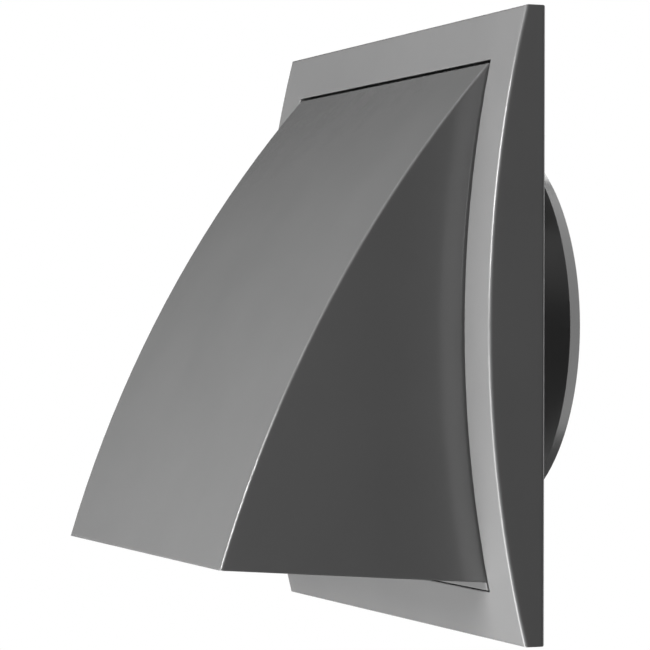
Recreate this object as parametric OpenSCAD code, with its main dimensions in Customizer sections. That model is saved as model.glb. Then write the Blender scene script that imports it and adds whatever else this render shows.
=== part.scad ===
// Hooded wall vent: a square face frame with a bulged front, a curved hood open underneath, a wall base with a
// round duct spigot, a guard in the duct and a non-return flap that hangs on a steel pin.
// X runs to the right, the front faces -Y and Z is up. The origin is the middle of the back face, on the wall.

/* [Face frame] */
// Side of the square frame
plate = 150; // [148:1:170]
// Depth of the frame at its top and bottom edges
edge_depth = 5.1; // [4.4:0.1:7]
// How far the front bulges past those edges at mid height
bulge = 9.5; // [7:0.5:12]
// Wall thickness of the frame
frame_wall = 2; // [1.6:0.1:2.1]
// Width of the border at each side of the opening
side_border = 13.6; // [13.4:0.1:16]
// Height of the border above and below the opening
end_border = 11.8; // [11.5:0.1:14]
// Thickness of the wall that lines the opening
lining_t = 1.8; // [1.2:0.1:2]
// Rounding of the frame's long side edges
edge_round = 0.9; // [0.4:0.1:1.6]
// Rounding of its top and bottom edges
end_round = 0.5; // [0.2:0.1:0.8]
// Rounding of the opening's rim
rim_round = 0.35; // [0.15:0.05:0.5]
// Rounding of the frame's edges against the wall
back_round = 0.8; // [0.2:0.1:1]

/* [Hood] */
// How far the lip stands out from the wall
hood_reach = 74.9; // [66:0.1:84]
// Radius of the curved front sheet
hood_r = 319; // [280:1:400]
// Wall thickness of the hood
hood_wall = 2; // [1.6:0.1:2.4]
// Gap between the hood and the top and sides of the frame's opening
hood_gap = 0.8; // [0.4:0.1:1]
// Gap under the hood, which sits low in the opening
low_gap = 0.3; // [0.2:0.1:1]
// Rounding of the edges between the front sheet and the side walls
hood_round = 0.5; // [0.3:0.1:0.8]
// Mould draft of the hood's side walls, in degrees
hood_draft = 1.4; // [0.5:0.1:2]
// Height of the lip above the hood's underside at the frame
lip_rise = 6.6; // [4:0.1:12]
// Height of the cross rail under the hood
rail_h = 2.9; // [2.4:0.1:3.4]
// How far above the underside of the rail the side walls end
side_step = 1.9; // [1.4:0.1:2.2]

/* [Wall base] */
// Thickness of the base plate
base_t = 2.2; // [1.8:0.1:2.4]
// Clearance between the base plate and the frame's walls
base_gap = 0.4; // [0.3:0.1:0.6]
// Depth of the pockets moulded in its back
pocket_depth = 1; // [0.5:0.1:1.2]
// Width of the ribs between the pockets
rib_w = 4; // [3:0.5:5]
// Height of the rim that the hood slides over
upstand_h = 3.6; // [3.4:0.1:4]
// Thickness of that rim
upstand_t = 1.5; // [1.2:0.1:2]
// Diameter of the wall screw holes
screw_d = 4.5; // [3.5:0.1:5]
// Diameter of their shallow countersinks
screw_head_d = 6.7; // [6:0.1:7.4]

/* [Duct spigot] */
// Outside diameter of the spigot
spigot_d = 99.6; // [96:0.1:100.4]
// Length of the spigot behind the wall face
spigot_len = 23; // [18:0.1:40]
// Wall thickness of the spigot
spigot_wall = 2.6; // [2.4:0.1:3.2]
// Length of the tapered end
lead_len = 3.6; // [2:0.1:6]
// How much smaller the radius is at the tapered end
lead_drop = 1.8; // [1:0.1:2]
// Width of the ledge that the guard sits against
ledge_w = 2; // [1.6:0.1:2.4]
// How far the ledge reaches behind the wall face
ledge_y = 1.5; // [1:0.1:4]

/* [Guard] */
// Depth of the guard's ring along the duct
guard_depth = 4; // [3:0.5:6]
// Wall thickness of the ring
guard_wall = 1.8; // [1.4:0.1:2.2]
// Clearance of the ring in the spigot
guard_gap = 0.25; // [0.15:0.05:0.4]
// Distance between the middles of the bars
bar_pitch = 11.5; // [10:0.5:14]
// Thickness of a bar
bar_t = 1.8; // [1.4:0.1:2.4]
// Depth of a bar along the duct
bar_depth = 3; // [2:0.5:3]

/* [Flap] */
// Thickness of the flap's disc
flap_t = 1.4; // [1.2:0.1:2]
// How far the flap laps past the outside of its seat
flap_lap = 1.2; // [0.8:0.1:1.6]
// Width of the raised seat round the throat
seat_w = 2.2; // [2:0.1:2.8]
// Lean of the seat, so that the flap falls shut by its own weight, in degrees
seat_tilt = 3; // [2:0.5:4]
// Thickness of the soft seal on the seat
seal_t = 1; // [0.6:0.1:1.2]
// Clearance between the hinge ears and the rim above them
hinge_gap = 3.6; // [0.4:0.1:4]
// Distance of the hinge axis in front of the base plate
hinge_stand = 4.8; // [4.4:0.1:5.4]
// Diameter of the steel hinge pin
pin_d = 2; // [1.6:0.1:2.2]
// Radial play of the pin in the flap's sleeve
pin_play = 0.06; // [0.03:0.01:0.09]
// Wall of the flap's hinge sleeve
sleeve_wall = 1.2; // [1:0.1:1.3]
// Length of that sleeve
sleeve_len = 44; // [34:1:56]
// Thickness of each hinge ear on the base
ear_t = 3; // [2:0.5:4]

/* [Hidden] */

$fn = 96;
// Facets of the large circles, kept fine so that a coarse one doesn't show
fine = 720;
// Overshoot that takes a cut past a face
over = 1;
// Steps in the curve of a small rounded edge
round_steps = 4;
// Clearance between pieces that meet when they are pressed home
rest_gap = 0.2;

half = plate / 2;
opening_x = half - side_border;
opening_z = half - end_border;

// The frame's front is an arc about an axis that runs along X
frame_r = (pow(half, 2) + pow(bulge, 2)) / (2 * bulge);
frame_axis_y = frame_r - edge_depth - bulge;
function front_y(z) = frame_axis_y - sqrt(pow(frame_r, 2) - pow(z, 2));

// Strip between the lining of the opening and the frame's outer wall, where hooks and wall screws sit
base_half = half - frame_wall - base_gap;
strip_from = opening_x + lining_t;
strip_x = (strip_from + half - frame_wall) / 2;
gusset_t = 1.2;
gusset_z = [-56, -18, 0, 18, 56];
// Snap hooks of the frame and the stepped slots they catch in
hook_z = 38;
hook_w = 8;
hook_t = 1.4;
hook_barb = 0.8;
hook_play = 0.2;
hook_tip = 0.3;
hook_catch = 1.2;
hook_in = strip_x - hook_t / 2;
hook_out = strip_x + hook_t / 2;

// Hood outline, in the YZ plane
hood_x = opening_x - hood_gap;
hood_top = opening_z - hood_gap;
hood_bottom = low_gap - opening_z;
hood_back = -(base_t + rest_gap);
side_bottom = hood_bottom + side_step;
rail_top = hood_bottom + rail_h;
top_point = [front_y(hood_top), hood_top];
lip_point = [-hood_reach, hood_bottom + lip_rise];
side_point = [front_y(side_bottom), side_bottom];
side_slope = (lip_point[1] - side_point[1]) / (lip_point[0] - side_point[0]);
past_lip = -(hood_reach + over);
// Centre of the front sheet's arc, which runs through the top point and the lip
chord = lip_point - top_point;
arc_offset = sqrt(pow(hood_r, 2) - pow(norm(chord) / 2, 2));
hood_centre = (lip_point + top_point) / 2 + arc_offset * [-chord[1], chord[0]] / norm(chord);
// In a drafted side wall that arc is nearly a circle, which is matched at the middle of its length
arc_sagitta = hood_r - arc_offset;
arc_middle = (lip_point + top_point) / 2 - arc_sagitta * [-chord[1], chord[0]] / norm(chord);
wall_arc_r = norm([(hood_centre[0] - arc_middle[0]) / cos(hood_draft), hood_centre[1] - arc_middle[1]]);

// Rim on the base that the hood slides over, and the bumps on it that snap into the hood's windows
upstand_gap = 0.3;
upstand_x = hood_x - hood_wall - upstand_gap;
upstand_top = hood_top - hood_wall - upstand_gap;
upstand_low = rail_top + upstand_gap;
upstand_front = -(base_t + upstand_h);
bump_z = 25;
bump_w = 8;
bump_h = 0.9;
bump_y = [-(base_t + 3), -(base_t + 1.2)];
window_play = 0.2;

// Spigot, throat and the leaning seat of the flap
spigot_r = spigot_d / 2;
spigot_bore = spigot_r - spigot_wall;
throat_r = spigot_bore - ledge_w;
seat_r = throat_r + seat_w;
boss_w = 2;
spoke_step = 45;
// Nubs in the spigot that the guard snaps past
nub_w = 6;
nub_h = 0.8;
nub_t = 1;

// The hinge axis is the origin of the flap's own frame, which leans with the seat
pin_r = pin_d / 2;
ear_wall = 1.8;
ear_r = pin_r + ear_wall;
hinge = [0, -(base_t + hinge_stand), upstand_top - upstand_t - hinge_gap - ear_r];
sleeve_r = pin_r + pin_play + sleeve_wall;
// The disc lies behind the axis, so that the sleeve clears the seal however high the hinge sits
sleeve_proud = 0.05;
disc_back = sleeve_r - sleeve_proud;
disc_front = disc_back - flap_t;
seal_play = 0.1;
seal_from = disc_back + seal_play;
seat_y = seal_from + seal_t;
disc_z = -(hinge[2] - seat_y * sin(seat_tilt)) / cos(seat_tilt);
flap_r = seat_r + flap_lap;
seal_inset = 0.2;
bead_w = 1.6;
bead_h = 1.2;
flap_rib_x = [-28, -14, 0, 14, 28];
flap_rib_t = 1.2;
flap_rib_h = 1;
neck_x = sleeve_len / 2 - 1;
ear_play = 0.4;
ear_bore_play = 0.02;
ear_from = sleeve_len / 2 + ear_play;
pin_proud = 0.5;
pin_half = ear_from + ear_t + pin_proud;

// Points on a curve that leaves a, bends round the corner c and ends at b
function round_points(a, c, b) =
    [for (i = [0:round_steps]) let (t = i / round_steps) pow(1 - t, 2) * a + 2 * t * (1 - t) * c + pow(t, 2) * b];

// The sliver that rounding takes off the corner c between a and b
module corner_sliver(a, c, b) {
    polygon(concat(round_points(a, c, b), [c + 2 * (2 * c - a - b)]));
}

// A slab centred on X, from an outline drawn in the YZ plane
module slab_x(w) {
    translate([-w / 2, 0, 0]) rotate([90, 0, 90]) linear_extrude(w) children();
}

// A slab from y0 to y1, from an outline drawn in the XZ plane
module slab_y(y0, y1) {
    translate([0, y1, 0]) rotate([90, 0, 0]) linear_extrude(y1 - y0) children();
}

// A slab centred on a height, from an outline drawn in the XY plane
module slab_z(z, h) {
    translate([0, 0, z - h / 2]) linear_extrude(h) children();
}

// A solid turned about the Y axis, from an outline of radius against Y
module turned_y() {
    rotate([-90, 0, 0]) rotate_extrude($fn = 180) children();
}

// A box given by its lowest and highest corners
module span_box(low, high) {
    translate(low) cube(high - low);
}

// Moves a piece from the flap's own leaning frame to its place on the wall
module on_hinge() {
    translate(hinge) rotate([-seat_tilt, 0, 0]) children();
}

// The same shape on the left and on the right
module both_sides() {
    for (side = [0, 1]) mirror([side, 0, 0]) children();
}

// The same shape above and below
module both_ends() {
    for (end = [0, 1]) mirror([0, 0, end]) children();
}

// A cylinder along X, centred on the origin
module rod(r, w, facets = $fn) {
    rotate([0, 90, 0]) cylinder(r = r, h = w, center = true, $fn = facets);
}

// FACE FRAME

// A block with a bulged front, between y_back and an arc of radius r about the frame's axis
module frame_block(r, w, z_half, y_back) {
    intersection() {
        translate([0, frame_axis_y, 0]) rod(r, w, fine);
        span_box([-plate, -half, -z_half], [plate, y_back, z_half]);
    }
}

// The frame's outer block, with the long edges at its sides rounded
module frame_body() {
    intersection() {
        translate([0, frame_axis_y, 0]) rotate([0, 90, 0]) rotate_extrude($fn = fine) polygon(concat(
            [[0, -half]],
            round_points([frame_r - edge_round, -half], [frame_r, -half], [frame_r, edge_round - half]),
            round_points([frame_r, half - edge_round], [frame_r, half], [frame_r - edge_round, half]),
            [[0, half]]));
        span_box([-plate, -half, -half], [plate, 0, half]);
    }
}

// What rounding takes off the frame's edges against the wall
module frame_back_sliver() {
    both_sides() slab_z(0, plate + 2 * over)
        corner_sliver([half - back_round, 0], [half, 0], [half, -back_round]);
    both_ends() slab_x(plate + 2 * over)
        corner_sliver([-back_round, half], [0, half], [0, half - back_round]);
}

// The frame's hollow shell, open at the back, with all its outer edges rounded
module frame_shell() {
    difference() {
        frame_body();
        frame_block(frame_r - frame_wall, plate - 2 * frame_wall, half - frame_wall, over);
        frame_back_sliver();
        both_ends() slab_x(plate + 2 * over)
            corner_sliver([-edge_depth + end_round, half], [-edge_depth, half],
                [front_y(half - end_round), half - end_round]);
    }
}

// Walls that line the opening and the gussets that brace the side strips
module frame_bracing() {
    intersection() {
        frame_block(frame_r - frame_wall / 2, plate - frame_wall, half - frame_wall / 2, hood_back);
        union() {
            span_box([-strip_from, -half, -opening_z - lining_t], [strip_from, over, opening_z + lining_t]);
            for (z = gusset_z) span_box([-half, -half, z - gusset_t / 2], [half, over, z + gusset_t / 2]);
        }
    }
}

// A snap hook that reaches back from the frame's front, with its barb turned outward
module frame_hook() {
    intersection() {
        frame_block(frame_r - frame_wall / 2, plate, half, over);
        span_box([hook_in, -half, hook_z - hook_w / 2], [hook_out, -hook_tip, hook_z + hook_w / 2]);
    }
    slab_z(hook_z, hook_w) polygon([
        [hook_out - hook_play, -hook_catch + hook_play / 2],
        [hook_out + hook_barb, -hook_catch + hook_play / 2],
        [hook_out, -hook_tip],
        [hook_out - hook_play, -hook_tip]
    ]);
}

// What rounding takes off the rim of the opening
module frame_rim_sliver() {
    both_ends() slab_x(2 * opening_x)
        corner_sliver([front_y(opening_z) + rim_round, opening_z], [front_y(opening_z), opening_z],
            [front_y(opening_z + rim_round), opening_z + rim_round]);
    both_sides() intersection() {
        translate([0, frame_axis_y, 0]) rotate([0, 90, 0]) rotate_extrude($fn = fine)
            corner_sliver([frame_r - rim_round, opening_x], [frame_r, opening_x], [frame_r, opening_x + rim_round]);
        span_box([0, -half, -opening_z], [half, 0, opening_z]);
    }
}

module face_frame() {
    color("#54565a") difference() {
        union() {
            frame_shell();
            frame_bracing();
            both_sides() both_ends() frame_hook();
        }
        span_box([-opening_x, -half, -opening_z], [opening_x, over, opening_z]);
        frame_rim_sliver();
    }
}

// HOOD

// The hood's outline from the side, set in by a wall, down to the line from the lip to the frame
module hood_outline(set_in, y_back, corners) {
    intersection() {
        translate(hood_centre) circle(hood_r - set_in, $fn = fine);
        polygon(concat([[y_back, hood_top - set_in], [past_lip, hood_top - set_in]], corners));
    }
}

// The hood's outline from above, set in by a wall, narrowing toward the lip by the mould draft
module hood_plan(set_in) {
    w = hood_x - set_in;
    lip_w = w - tan(hood_draft) * (top_point[0] - past_lip);
    polygon([[-w, over], [w, over], [w, top_point[0]], [lip_w, past_lip], [-lip_w, past_lip], [-w, top_point[0]]]);
}

module hood_shell() {
    difference() {
        intersection() {
            slab_x(plate) hood_outline(0, hood_back, [
                [past_lip, side_point[1] + side_slope * (past_lip - side_point[0])],
                side_point,
                [hood_back, side_bottom]
            ]);
            slab_z(0, plate) hood_plan(0);
        }
        intersection() {
            slab_x(plate) hood_outline(hood_wall, over, [[past_lip, -plate], [over, -plate]]);
            slab_z(0, 3 * plate) hood_plan(hood_wall);
        }
    }
}

// What rounding takes off the edge between the front sheet and the right side wall
module hood_edge_sliver() {
    translate([hood_x + tan(hood_draft) * (hood_centre[0] - top_point[0]), hood_centre[0], hood_centre[1]])
        rotate([0, 0, -hood_draft]) rotate([0, 90, 0]) rotate_extrude($fn = fine)
            corner_sliver([wall_arc_r - hood_round, 0], [wall_arc_r, 0], [wall_arc_r, -hood_round]);
}

// The rail that ties the hood's sides together under the frame, flush with the frame's front
module hood_rail() {
    intersection() {
        frame_block(frame_r, 2 * hood_x, half, hood_back);
        span_box([-half, -half, hood_bottom], [half, 0, rail_top]);
    }
}

module hood() {
    color("#5a5c60") difference() {
        union() {
            hood_shell();
            hood_rail();
        }
        both_sides() hood_edge_sliver();
        both_sides() both_ends() span_box(
            [hood_x - hood_wall - over, bump_y[0] - window_play, bump_z - bump_w / 2 - window_play],
            [hood_x + over, bump_y[1] + window_play, bump_z + bump_w / 2 + window_play]);
    }
}

// WALL BASE

// Pockets in the back of the base, between its rim, the ring round the duct, the spokes and the bosses
module pocket_outline() {
    difference() {
        square(2 * (base_half - rib_w), center = true);
        circle(spigot_r + rib_w);
        for (a = [0:spoke_step:360 - spoke_step]) rotate(a) translate([0, -rib_w / 2]) square([plate, rib_w]);
        for (x = [-1, 1], z = [-1, 1]) {
            translate([x * strip_x, z * strip_x]) circle(screw_head_d / 2 + boss_w);
            translate([x * strip_x, z * hook_z]) square([2 * (half - strip_x), hook_w + 2 * rib_w], center = true);
        }
    }
}

// A countersunk hole for a wall screw
module screw_hole() {
    translate([strip_x, 0, strip_x]) turned_y() polygon([
        [0, -base_t - over],
        [screw_head_d / 2, -base_t - over],
        [screw_head_d / 2, -base_t],
        [screw_d / 2, -base_t + (screw_head_d - screw_d) / 2],
        [screw_d / 2, over],
        [0, over]
    ]);
}

// The stepped slot that a frame hook catches in
module hook_slot() {
    z = [hook_z - hook_w / 2 - hook_play, hook_z + hook_w / 2 + hook_play];
    span_box([hook_in - hook_barb - hook_play, -base_t - over, z[0]], [hook_out + hook_play, over, z[1]]);
    span_box([hook_in, -hook_catch, z[0]], [hook_out + hook_barb + hook_play, over, z[1]]);
}

// Rim that the hood slides over, with the bumps that hold it
module upstand() {
    difference() {
        span_box([-upstand_x, upstand_front, upstand_low], [upstand_x, -base_t / 2, upstand_top]);
        span_box([-upstand_x + upstand_t, upstand_front - over, upstand_low + upstand_t],
            [upstand_x - upstand_t, over, upstand_top - upstand_t]);
    }
    both_sides() both_ends() slab_z(bump_z, bump_w)
        polygon([[upstand_x - over, bump_y[0]], [upstand_x, bump_y[0]], [upstand_x + bump_h, bump_y[1]],
            [upstand_x - over, bump_y[1]]]);
}

// Ring round the throat, cut to the leaning plane that the seal sits on
module flap_seat() {
    difference() {
        turned_y() translate([throat_r, -half]) square([seat_w, half - base_t / 2]);
        on_hinge() span_box([-half, -plate, -plate], [half, seat_y, half]);
    }
}

// Ear that holds one end of the hinge pin
module hinge_ear() {
    translate(hinge) translate([ear_from + ear_t / 2, 0, 0]) {
        rod(ear_r, ear_t);
        span_box([-ear_t / 2, 0, -ear_r], [ear_t / 2, hinge_stand + base_t / 2, ear_r]);
    }
}

// Duct spigot with its tapered end and the ledge for the guard
module spigot() {
    turned_y() polygon([
        [throat_r, -base_t],
        [throat_r, ledge_y],
        [spigot_bore, ledge_y],
        [spigot_bore, spigot_len],
        [spigot_r - lead_drop, spigot_len],
        [spigot_r, spigot_len - lead_len],
        [spigot_r, -base_t]
    ]);
    for (a = [0:90:270]) rotate([0, a + 45, 0]) slab_z(0, nub_w) polygon([
        [spigot_bore + over, ledge_y + guard_depth + rest_gap],
        [spigot_bore - nub_h, ledge_y + guard_depth + rest_gap],
        [spigot_bore, ledge_y + guard_depth + rest_gap + nub_t],
        [spigot_bore + over, ledge_y + guard_depth + rest_gap + nub_t]
    ]);
}

module wall_base() {
    color("#4a4c50") difference() {
        union() {
            difference() {
                span_box([-base_half, -base_t, -base_half], [base_half, 0, base_half]);
                slab_y(-pocket_depth, over) pocket_outline();
                turned_y() translate([0, -plate]) square([throat_r, 2 * plate]);
            }
            spigot();
            flap_seat();
            upstand();
            both_sides() hinge_ear();
        }
        both_sides() both_ends() screw_hole();
        both_sides() both_ends() hook_slot();
        translate(hinge) rod(pin_r + ear_bore_play, plate);
    }
}

// GUARD

module guard_grille() {
    ring_r = spigot_bore - guard_gap;
    inner_r = ring_r - guard_wall;
    bars = floor((inner_r - bar_t) / bar_pitch);
    color("#4a4c50") {
        turned_y() translate([inner_r, ledge_y]) square([guard_wall, guard_depth]);
        intersection() {
            turned_y() translate([0, ledge_y]) square([inner_r + guard_wall / 2, bar_depth]);
            union() {
                for (i = [-bars:bars]) translate([0, 0, i * bar_pitch])
                    cube([plate, plate, bar_t], center = true);
                cube([bar_t, plate, plate], center = true);
            }
        }
    }
}

// FLAP

// A disc or ring in the flap's frame, from y0 to y1
module flap_ring(r_in, r_out, y0, y1) {
    translate([0, 0, disc_z]) turned_y() translate([r_in, y0]) square([r_out - r_in, y1 - y0]);
}

module flap_seal() {
    color("#2c2d2f") on_hinge() flap_ring(throat_r + seal_inset, seat_r - seal_inset, seal_from, seat_y);
}

module flap() {
    color("#4f5155") on_hinge() difference() {
        union() {
            flap_ring(0, flap_r, disc_front, disc_back);
            flap_ring(flap_r - bead_w, flap_r, disc_front - bead_h, disc_back);
            span_box([-neck_x, disc_front, disc_z + flap_r / 2], [neck_x, disc_back, 0]);
            rod(sleeve_r, sleeve_len);
            intersection() {
                flap_ring(0, flap_r - bead_w / 2, disc_front - flap_rib_h, disc_back - flap_t / 2);
                for (x = flap_rib_x) span_box([x - flap_rib_t / 2, -plate, disc_z - plate],
                    [x + flap_rib_t / 2, plate, disc_z + plate]);
            }
        }
        rod(pin_r + pin_play, plate);
    }
}

module hinge_pin() {
    color("#c4c6c8") translate(hinge) rod(pin_r, 2 * pin_half);
}

wall_base();
guard_grille();
flap_seal();
flap();
hinge_pin();
hood();
face_frame();
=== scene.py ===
"""Looks of the hooded wall vent: moulded plastic with softened edges, lit as a plain studio product shot."""
import math

import bpy
from mathutils import Matrix, Vector

# Camera, solved from the photograph's corners and curves
VIEW_AZIMUTH = math.radians(67.951)
VIEW_ELEVATION = math.radians(-0.154)
VIEW_ROLL = math.radians(0.122)
VIEW_DISTANCE = 0.721385
AIM_RIGHT = -0.023363
AIM_UP = 0.000298
FOCAL_PIXELS = 2788.6
IMAGE_PIXELS = 650
SENSOR_MM = 36.0
CLIP_START = 0.01
CLIP_END = 50

# Plastic of the moulded pieces, as linear reflectance
FRAME_GREY = 0.178
HOOD_GREY = 0.160
BASE_GREY = 0.13
FLAP_GREY = 0.15

# Strength of the plastic's mirror reflection, and its roughness on each piece
GLOSS_LEVEL = 0.9
SHELL_ROUGHNESS = 0.2
BASE_ROUGHNESS = 0.24
FLAP_ROUGHNESS = 0.3

# Thin smooth skin of the moulded pieces, which mirrors sharply what stands next to it
SKIN_WEIGHT = 0.15
SKIN_ROUGHNESS = 0.05

# Softened edges of the moulded pieces, in metres
EDGE_RADIUS = 0.0003
HOOD_EDGE_RADIUS = 0.0009

# Painted shade in narrow gaps: how far a narrow gap is felt, in metres, the open share below which the base
# colour is painted darker, and how dark the painted shade gets
GAP_REACH = 0.003
GAP_CLOSED = 0.15
GAP_OPEN = 0.4
PAINTED_GAP_SHADE = 0.15

# Samples of each softened edge and of the painted shade in narrow gaps
SHADE_SAMPLES = 8

# Middle range of a noise value, which is spread over the wanted range
NOISE_LOW = 0.3
NOISE_HIGH = 0.7

# Noises of the moulded plastic: scale per metre, detail, and how far each one goes
CLOUD_NOISE = (38.0, 3.0)
CLOUD_SPREAD = 0.025
GLOSS_NOISE = (90.0, 4.0)
GLOSS_SPREAD = 0.03
GRAIN_NOISE = (3200.0, 2.0)
GRAIN_STRENGTH = 0.12
GRAIN_HEIGHT = 0.00006

# Rubber of the seal and steel of the pin
RUBBER_GREY = 0.03
RUBBER_ROUGHNESS = 0.75
RUBBER_NOISE = (1500.0, 2.0)
RUBBER_STRENGTH = 0.2
RUBBER_HEIGHT = 0.0001
STEEL_GREY = 0.6
STEEL_ROUGHNESS = 0.28
STEEL_NOISE = (400.0, 2.0)
STEEL_SMOOTH = 0.24
STEEL_ROUGH = 0.34

# Floor: height and reach in metres, and its tone in the light that it throws back
FLOOR_Z = -1.7
FLOOR_REACH = 6.0
FLOOR_GREY = 0.3

# Distances of the soft boxes from the vent, in metres
FAR = 1.5
NEAR = 0.75

# Widths and heights of the soft boxes, in metres
SMALL_BOX = (0.25, 0.25)
STRIP_BOX = (0.08, 1.0)
TALL_BOX = (0.5, 1.1)
LARGE_BOX = (1.0, 1.0)
WALL_BOX = (1.9, 2.4)


def grey(level):
    return (level, level, level, 1.0)


def new_material(name, color, roughness, specular=0.5, metallic=0.0):
    """A Principled material with its uniform values on the shader's own sockets."""
    material = bpy.data.materials.new(name)
    material.use_nodes = True
    shader = material.node_tree.nodes["Principled BSDF"]
    shader.inputs["Base Color"].default_value = color
    shader.inputs["Roughness"].default_value = roughness
    shader.inputs["Specular IOR Level"].default_value = specular
    shader.inputs["Metallic"].default_value = metallic
    return material, shader


def add_node(material, kind):
    return material.node_tree.nodes.new(kind)


def link(material, source, target):
    material.node_tree.links.new(source, target)


def noise(material, scale, detail):
    """Noise in the object's own coordinates, in which every piece is in metres."""
    place = add_node(material, "ShaderNodeTexCoord")
    texture = add_node(material, "ShaderNodeTexNoise")
    texture.inputs["Scale"].default_value = scale
    texture.inputs["Detail"].default_value = detail
    link(material, place.outputs["Object"], texture.inputs["Vector"])
    return texture.outputs["Fac"]


def remap(material, source, low, high):
    """Spreads a noise value over a range."""
    node = add_node(material, "ShaderNodeMapRange")
    node.inputs["From Min"].default_value = NOISE_LOW
    node.inputs["From Max"].default_value = NOISE_HIGH
    node.inputs["To Min"].default_value = low
    node.inputs["To Max"].default_value = high
    link(material, source, node.inputs["Value"])
    return node.outputs["Result"]


def painted_gap_shade(material):
    """Painted shade: a factor on the base colour that is 1 on open surfaces and in corners, and falls inside
    a narrow gap, where shade falls.
    """
    occlusion = add_node(material, "ShaderNodeAmbientOcclusion")
    occlusion.samples = SHADE_SAMPLES
    occlusion.inputs["Distance"].default_value = GAP_REACH
    shade = add_node(material, "ShaderNodeMapRange")
    shade.inputs["From Min"].default_value = GAP_CLOSED
    shade.inputs["From Max"].default_value = GAP_OPEN
    shade.inputs["To Min"].default_value = PAINTED_GAP_SHADE
    shade.inputs["To Max"].default_value = 1.0
    link(material, occlusion.outputs["AO"], shade.inputs["Value"])
    return shade.outputs["Result"]


def add_bump(material, shader, texture, strength, height):
    """A fine surface relief from a noise, up to a height in metres."""
    bump = add_node(material, "ShaderNodeBump")
    bump.inputs["Strength"].default_value = strength
    bump.inputs["Distance"].default_value = height
    link(material, noise(material, *texture), bump.inputs["Height"])
    link(material, bump.outputs["Normal"], shader.inputs["Normal"])
    return bump


def moulded_plastic(name, level, roughness, edge_radius=EDGE_RADIUS):
    """Satin moulded plastic: fine spark-eroded grain, faint flow clouding and slightly uneven gloss, with
    painted shade darkening its colour inside narrow gaps.
    """
    material, shader = new_material(name, grey(level), roughness, specular=GLOSS_LEVEL)
    shader.inputs["Coat Weight"].default_value = SKIN_WEIGHT
    shader.inputs["Coat Roughness"].default_value = SKIN_ROUGHNESS
    cloud = noise(material, *CLOUD_NOISE)
    cloud = remap(material, cloud, level * (1 - CLOUD_SPREAD), level * (1 + CLOUD_SPREAD))
    shaded = add_node(material, "ShaderNodeMath")
    shaded.operation = "MULTIPLY"
    link(material, cloud, shaded.inputs[0])
    # Painted shade: the base colour is darkened inside narrow gaps
    link(material, painted_gap_shade(material), shaded.inputs[1])
    combine = add_node(material, "ShaderNodeCombineColor")
    for channel in ("Red", "Green", "Blue"):
        link(material, shaded.outputs["Value"], combine.inputs[channel])
    link(material, combine.outputs["Color"], shader.inputs["Base Color"])
    gloss = noise(material, *GLOSS_NOISE)
    gloss = remap(material, gloss, roughness - GLOSS_SPREAD, roughness + GLOSS_SPREAD)
    link(material, gloss, shader.inputs["Roughness"])
    edges = add_node(material, "ShaderNodeBevel")
    edges.samples = SHADE_SAMPLES
    edges.inputs["Radius"].default_value = edge_radius
    grain = add_bump(material, shader, GRAIN_NOISE, GRAIN_STRENGTH, GRAIN_HEIGHT)
    link(material, edges.outputs["Normal"], grain.inputs["Normal"])
    return material


def rubber(name):
    material, shader = new_material(name, grey(RUBBER_GREY), RUBBER_ROUGHNESS)
    add_bump(material, shader, RUBBER_NOISE, RUBBER_STRENGTH, RUBBER_HEIGHT)
    return material


def steel(name):
    material, shader = new_material(name, grey(STEEL_GREY), STEEL_ROUGHNESS, metallic=1.0)
    gloss = remap(material, noise(material, *STEEL_NOISE), STEEL_SMOOTH, STEEL_ROUGH)
    link(material, gloss, shader.inputs["Roughness"])
    return material


def paint(obj, material):
    obj.data.materials.clear()
    obj.data.materials.append(material)


def make_world():
    """White where the camera sees past the object, and dark otherwise, so that the lamps alone light it."""
    world = bpy.data.worlds.new("studio")
    bpy.context.scene.world = world
    world.use_nodes = True
    nodes, links = world.node_tree.nodes, world.node_tree.links
    nodes.clear()
    rays = nodes.new("ShaderNodeLightPath")
    white = nodes.new("ShaderNodeBackground")
    white.inputs["Color"].default_value = grey(1.0)
    out = nodes.new("ShaderNodeOutputWorld")
    links.new(rays.outputs["Is Camera Ray"], white.inputs["Strength"])
    links.new(white.outputs["Background"], out.inputs["Surface"])


def view_direction(turn, rise):
    """Unit vector from the vent towards a place that is turned and raised by these angles, in radians."""
    level = math.cos(rise)
    return Vector((math.sin(turn) * level, -math.cos(turn) * level, math.sin(rise)))


def make_lamp(name, azimuth, elevation, distance, size, energy):
    """A soft box that faces the vent. Azimuth 0 is in front of the vent and 90 to its right, in degrees."""
    data = bpy.data.lights.new(name, "AREA")
    data.shape = "RECTANGLE"
    data.size, data.size_y = size
    data.energy = energy
    lamp = bpy.data.objects.new(name, data)
    bpy.context.scene.collection.objects.link(lamp)
    direction = view_direction(math.radians(azimuth), math.radians(elevation))
    lamp.location = direction * distance
    lamp.rotation_euler = (-direction).to_track_quat("-Z", "Y").to_euler()
    lamp.visible_camera = False


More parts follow.
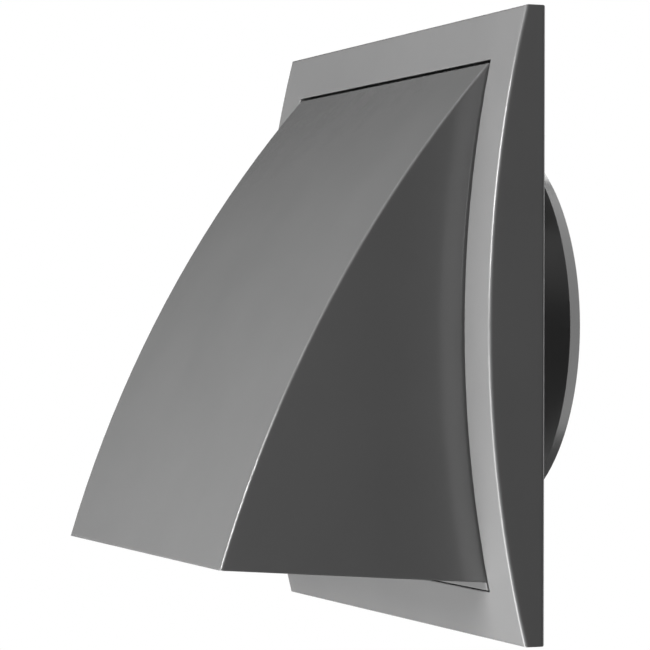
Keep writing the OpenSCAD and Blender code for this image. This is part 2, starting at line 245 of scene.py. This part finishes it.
def make_floor():
    """A wide pale floor well below the vent, which hangs on a wall and stands on nothing."""
    mesh = bpy.data.meshes.new("floor")
    sides = [(-1, -1), (1, -1), (1, 1), (-1, 1)]
    corners = [(x * FLOOR_REACH, y * FLOOR_REACH, FLOOR_Z) for x, y in sides]
    mesh.from_pydata(corners, [], [(0, 1, 2, 3)])
    floor = bpy.data.objects.new("floor", mesh)
    bpy.context.scene.collection.objects.link(floor)
    material = bpy.data.materials.new("floor_white")
    material.use_nodes = True
    nodes = material.node_tree.nodes
    nodes.clear()
    diffuse = nodes.new("ShaderNodeBsdfDiffuse")
    diffuse.inputs["Color"].default_value = grey(FLOOR_GREY)
    glow = nodes.new("ShaderNodeEmission")
    glow.inputs["Color"].default_value = grey(1.0)
    rays = nodes.new("ShaderNodeLightPath")
    add = nodes.new("ShaderNodeAddShader")
    out = nodes.new("ShaderNodeOutputMaterial")
    link(material, rays.outputs["Is Camera Ray"], glow.inputs["Strength"])
    link(material, diffuse.outputs["BSDF"], add.inputs[0])
    link(material, glow.outputs["Emission"], add.inputs[1])
    link(material, add.outputs["Shader"], out.inputs["Surface"])
    mesh.materials.append(material)


def make_camera():
    """The camera at the photograph's place: turned about the vent, aimed a little to its left."""
    data = bpy.data.cameras.new("camera")
    data.sensor_width = SENSOR_MM
    data.lens = FOCAL_PIXELS * SENSOR_MM / IMAGE_PIXELS
    data.clip_start = CLIP_START
    data.clip_end = CLIP_END
    camera = bpy.data.objects.new("camera", data)
    bpy.context.scene.collection.objects.link(camera)
    back = view_direction(VIEW_AZIMUTH, VIEW_ELEVATION)
    right = Vector((math.cos(VIEW_AZIMUTH), math.sin(VIEW_AZIMUTH), 0))
    up = back.cross(right)
    turn, lean = math.cos(VIEW_ROLL), math.sin(VIEW_ROLL)
    rolled_right = right * turn + up * lean
    rolled_up = up * turn - right * lean
    place = back * VIEW_DISTANCE + rolled_right * AIM_RIGHT + rolled_up * AIM_UP
    axes = Matrix((rolled_right, rolled_up, back)).transposed().to_4x4()
    camera.matrix_world = Matrix.Translation(place) @ axes
    bpy.context.scene.camera = camera


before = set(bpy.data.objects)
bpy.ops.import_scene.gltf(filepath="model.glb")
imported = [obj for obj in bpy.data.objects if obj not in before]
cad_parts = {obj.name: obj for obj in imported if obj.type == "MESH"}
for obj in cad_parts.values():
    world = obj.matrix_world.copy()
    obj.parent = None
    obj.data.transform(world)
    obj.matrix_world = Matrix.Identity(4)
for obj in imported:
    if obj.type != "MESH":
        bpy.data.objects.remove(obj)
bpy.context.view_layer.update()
bpy.context.scene.view_settings.view_transform = "Standard"

frame_plastic = moulded_plastic("frame_plastic", FRAME_GREY, SHELL_ROUGHNESS)
hood_plastic = moulded_plastic("hood_plastic", HOOD_GREY, SHELL_ROUGHNESS, HOOD_EDGE_RADIUS)
base_plastic = moulded_plastic("base_plastic", BASE_GREY, BASE_ROUGHNESS)
flap_plastic = moulded_plastic("flap_plastic", FLAP_GREY, FLAP_ROUGHNESS)

paint(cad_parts["face_frame"], frame_plastic)
paint(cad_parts["hood"], hood_plastic)
paint(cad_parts["wall_base"], base_plastic)
paint(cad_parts["guard_grille"], base_plastic)
paint(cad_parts["flap"], flap_plastic)
paint(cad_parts["flap_seal"], rubber("seal_rubber"))
paint(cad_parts["hinge_pin"], steel("pin_steel"))

make_world()
make_floor()
make_lamp("front_light", -4, -21, FAR, LARGE_BOX, 18.5)
make_lamp("right_light", 14, 14, NEAR, SMALL_BOX, 5.9)
make_lamp("edge_light", 19, 52, NEAR, STRIP_BOX, 1.3)
make_lamp("low_light", -2, -56, FAR, LARGE_BOX, 37.0)
make_lamp("rear_right_light", 128, 30, FAR, TALL_BOX, 0.4)
make_lamp("rear_light", 176, 9, FAR, WALL_BOX, 19.0)
make_lamp("rear_left_light", 237, 40, FAR, LARGE_BOX, 9.0)
make_camera()
